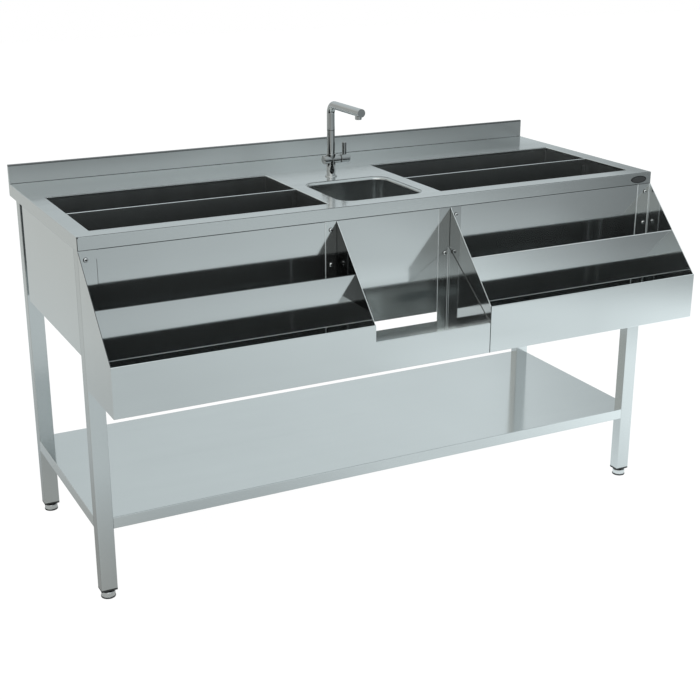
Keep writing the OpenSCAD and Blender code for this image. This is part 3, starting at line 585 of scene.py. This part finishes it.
# Heights of the painted shade on the neck under the leg's cap
CAP_SHADE_BAND = (15.7 * MM, 19.4 * MM)
FOOT = [(0, 0), (15.4, 0), (16.6, 0.4), (17, 1.3), (17, 3.4), (16.6, 4.0), (15.7, 4.2), (15.7, 4.8),
        (16.2, 5.3), (16.2, 14.2), (15.9, 15.0), (15.1, 15.6), (8.5, 15.8), (8.5, 19.0), (5, 19.3)]
THREAD_START = 21
THREAD_PITCH = 1.5
THREAD_TURNS = 28
CREST, ROOT = 5, 4.3
THREAD = [(radius, THREAD_START + THREAD_PITCH * (turn + part))
          for turn in range(THREAD_TURNS) for radius, part in ((CREST, 0), (ROOT, 0.5))]
STEM_TOP = [(CREST, 63), (ROOT, 64.3), (0, 64.3)]


def foot_finish():
    """Satin body over a dark moulded pad, with painted shade on the neck under the leg's cap."""
    f = Finish("foot_satin")
    cloud = f.noise((120, 120, 400), detail=3)
    body = f.band(f.z, PAD_TOP, PAD_TOP + 0.2 * MM)
    # Painted shade on the neck under the leg's cap
    under = (f.z > CAP_SHADE_BAND[0]) * (f.z < CAP_SHADE_BAND[1])
    satin = f.toned((0.78, 0.79, 0.79), f.band(cloud, 0.3, 0.7, 0.94, 1.06) * (1 - SHADE_DEPTH * under))
    return f.surface(base=f.tinted(body, (0.03, 0.03, 0.031, 1), satin), metal=body * 0.94,
                     rough=f.blend(body, 0.6, 0.3) + f.band(cloud, 0.3, 0.7, -0.03, 0.03),
                     normal=f.bump(cloud, 0.02 * MM))


def levelling_foot(row, side, finish):
    """Stout foot on its screwed stem, under a leg's cap."""
    node = "foot_%s_%s" % (row, side)
    low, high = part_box(node)
    shape = turned(FOOT + THREAD + STEM_TOP, 40)
    centre = ((low[0] + high[0]) / 2, (low[1] + high[1]) / 2, 0)
    bmesh.ops.translate(shape, vec=centre, verts=shape.verts)
    added("turned_" + node, shape, node, "foot_metal", finish, node)


HEAD_STEPS = 16
HEAD_TOP = 3.85
HEAD = [(0, -12), (2.2, -12), (2.9, -11.2), (2.9, 0), (5.2, 0), (5.5, 0.25), (5.5, 0.75), (5.2, 1.6),
        (4.5, 2.6), (3.6, 3.4), (2.7, HEAD_TOP), (1.5, 2.5), (0, 1.6)]
OUTER_SCREW, INNER_SCREW = 0.734, 0.166
HIGH_SCREW, LOW_SCREW = 0.800, 0.719
GUSSET_SCREW = (0.137, 0.71)
SCREW_PLACES = [(x, z) for x in (-OUTER_SCREW, -INNER_SCREW, INNER_SCREW, OUTER_SCREW)
                for z in (HIGH_SCREW, LOW_SCREW)] + [GUSSET_SCREW]


def distance(across, up):
    return (across * across + up * up) ** 0.5


def screw_finish():
    """Chrome, with painted shade in the recess and a painted shadow round the foot of each head."""
    f = Finish("screw_chrome")
    cloud = f.noise((200, 200, 200))
    across = abs(abs(abs(f.x) - (OUTER_SCREW + INNER_SCREW) / 2) - (OUTER_SCREW - INNER_SCREW) / 2)
    up = abs(abs(f.z - (HIGH_SCREW + LOW_SCREW) / 2) - (HIGH_SCREW - LOW_SCREW) / 2)
    cheeks = distance(across, up)
    gusset = distance(f.x - GUSSET_SCREW[0], f.z - GUSSET_SCREW[1])
    # Painted shade in the driver recess, and painted shadow round the foot of each head
    recess = (cheeks < 2.3 * MM) | (gusset < 2.3 * MM)
    foot = (cheeks > 4.7 * MM) * (gusset > 4.7 * MM)
    tone = f.band(cloud, 0.3, 0.7, 0.96, 1.04) * (1 - 0.9 * (recess | foot))
    return f.surface(base=f.toned((0.62, 0.63, 0.63), tone), metal=1.0, rough=0.1,
                     normal=f.bump(cloud, 0.01 * MM))


def corners_of(items):
    return [item for item in items if isinstance(item, bmesh.types.BMVert)]


def rack_fixings():
    """Nine domed heads with a four-sided driver recess, on their shanks."""
    shape = turned(HEAD, HEAD_STEPS)
    for corner in shape.verts:
        if abs(corner.co.z - HEAD_TOP * MM) < 1e-6:
            angle = math.degrees(math.atan2(corner.co.y, corner.co.x))
            if round(angle * HEAD_STEPS / 360) % 4:
                bmesh.ops.scale(shape, vec=(0.5, 0.5, 1), verts=[corner])
    facing_front(shape)
    first = shape.verts[:] + shape.edges[:] + shape.faces[:]
    for x, z in SCREW_PLACES:
        copy = bmesh.ops.duplicate(shape, geom=first)["geom"]
        bmesh.ops.translate(shape, vec=(x, FRONT, z), verts=corners_of(copy))
    bmesh.ops.delete(shape, geom=corners_of(first), context="VERTS")
    added("domed_screws", shape, "frame", "screw_steel", screw_finish(), "rack_screws")


foot_steel = foot_finish()
for side in ("left", "right"):
    for row in ("front", "rear"):
        levelling_foot(row, side, foot_steel)
rack_fixings()


# ---------------------------------------------------------------------- stage

CAMERA_PLACE = (-1.41554, -2.73566, 1.50217)
CAMERA_YAW = 27.158
CAMERA_PITCH = 19.336
CAMERA_ROLL = 0.03
LENS = 65.705
SENSOR = 36
COOL_LIGHT = (0.912, 1.0, 1.022, 1)
WARM_LIGHT = (0.968, 1.0, 0.968, 1)
AMBIENT = 0.55
SKY_ABOVE = 0.92
FLOOR_SIZE = 12
UNDER_LENGTH, UNDER_WIDTH = 0.9, 0.6
FLOOR_GLOW = 1.09


def photo_camera():
    """The photograph's viewpoint, read from its straight edges."""
    yaw, pitch, roll = [math.radians(angle) for angle in (CAMERA_YAW, CAMERA_PITCH, CAMERA_ROLL)]
    data = bpy.data.cameras.new("camera")
    data.sensor_width = SENSOR
    data.lens = LENS
    camera = bpy.data.objects.new("camera", data)
    bpy.context.scene.collection.objects.link(camera)
    turn = Euler((math.pi / 2 - pitch, 0, -yaw)).to_matrix() @ Matrix.Rotation(roll, 3, "Z")
    camera.location = CAMERA_PLACE
    camera.rotation_euler = turn.to_euler()
    bpy.context.scene.camera = camera


def ray_kinds(nodes):
    """One for rays that see the background straight or through glass, and one for mirrored rays."""
    path = nodes.add("ShaderNodeLightPath").socket.node
    camera, glossy, through = [Signal(nodes, path.outputs["Is %s Ray" % kind])
                               for kind in ("Camera", "Glossy", "Transmission")]
    return camera | through, glossy


def studio_colour(nodes, straight, left):
    """White to the eye; in metal cool, and warmer on the left."""
    return nodes.tinted(straight, nodes.tinted(left, COOL_LIGHT, WARM_LIGHT), WHITE)


def white_studio():
    """White to the eye; in metal, dimmer near the horizon and towards the right."""
    world = bpy.data.worlds.new("studio")
    bpy.context.scene.world = world
    world.use_nodes = True
    n = Nodes(world.node_tree)
    x, y, z = n.axes(n.add("ShaderNodeTexCoord", output="Generated"))
    before, behind = n.band(x, 0.2, 0.6, 0.65, 0.50), n.band(x, 0.2, 0.6, 0.56, 0.53)
    low = n.blend(n.band(y, -0.2, 0.2), before, behind)
    high = n.band(x, 0.2, 0.5, 0.74, 0.89) * n.band(x, 0.52, 0.62, 1.0, 0.64)
    sky = n.blend(n.band(z, 0.18, 0.37, ease="SMOOTHSTEP"), low, high)
    sky = n.blend(n.band(z, 0.4, 0.7), sky, SKY_ABOVE)
    straight, mirrored = ray_kinds(n)
    strength = n.blend(straight, n.blend(mirrored, AMBIENT, sky), 1.0)
    colour = studio_colour(n, straight, n.band(x, -0.1, -0.35))
    back = n.add("ShaderNodeBackground", None, {"Color": colour, "Strength": strength})
    n.add("ShaderNodeOutputWorld", None, {"Surface": back})


def floor_paint():
    """White to the eye; in metal, a painted pool of light that is brighter to the right, with painted
    shadow close round the object.
    """
    f = Finish("floor_paint")
    far = distance(f.x, f.y)
    under = distance(f.x * (1 / UNDER_LENGTH), f.y * (1 / UNDER_WIDTH))
    ahead = f.band(far, 2.35, 2.85, 1.0, 0.75, "SMOOTHSTEP") * f.band(far, 2.8, 3.4, 1.0, 0.91)
    ahead = ahead * (1 - 0.57 * f.band(f.x, 1.5, 2.6) * f.band(far, 2.6, 3.0))
    behind = f.band(under, 1.6, 3.0, 0.8, 1.0)
    pool = f.band(f.x, -1.5, -0.7, 0.60, 0.69) + f.band(f.x, -0.2, 1.4, 0.0, 0.31)
    pool = pool * f.blend(f.band(f.y, 0.2, 1.0), ahead, behind)
    pool = pool * (1 + 0.28 * f.band(far, 2.1, 1.7) * f.band(f.x, 0.5, 1.0))
    # Painted shadow close round the object's left half, seen only in metal
    pool = pool * f.blend(f.band(f.x, 0.2, -0.5), 1.0, f.band(under, 0.9, 1.6, 0.62, 1.0))
    near_left = f.band(under, 1.5, 0.9) * f.band(f.x, -0.45, -0.75)
    straight, mirrored = ray_kinds(f)
    colour = studio_colour(f, straight, f.band(f.x, -0.8, -1.5) | near_left)
    paint = f.add("ShaderNodeBsdfDiffuse", None, {"Color": (0.9, 0.9, 0.9, 1)})
    glow = f.add("ShaderNodeEmission", None,
                 {"Color": colour, "Strength": f.blend(straight, pool, FLOOR_GLOW)})
    shown = (straight | mirrored) * 0.9
    return f.close(f.add("ShaderNodeMixShader", None, [shown, paint, glow]))


def pale_floor():
    """Wide flat floor that keeps the object's shadow."""
    mesh = bpy.data.meshes.new("floor")
    shape = bmesh.new()
    bmesh.ops.create_grid(shape, x_segments=1, y_segments=1, size=FLOOR_SIZE)
    shape.to_mesh(mesh)
    shape.free()
    mesh.materials.append(floor_paint())
    floor = bpy.data.objects.new("floor", mesh)
    bpy.context.scene.collection.objects.link(floor)


def soft_lamp(place, target, size, watts):
    """Broad square lamp, aimed at a point."""
    data = bpy.data.lights.new("key", "AREA")
    data.size = size
    data.energy = watts
    lamp = bpy.data.objects.new("key", data)
    bpy.context.scene.collection.objects.link(lamp)
    lamp.location = place
    lamp.rotation_euler = (Vector(target) - Vector(place)).to_track_quat("-Z", "Y").to_euler()


photo_camera()
white_studio()
pale_floor()
soft_lamp(place=(-1.5, -2.5, 3.2), target=(0, 0, 0.6), size=4.0, watts=40)

bpy.context.scene.view_settings.view_transform = "Standard"
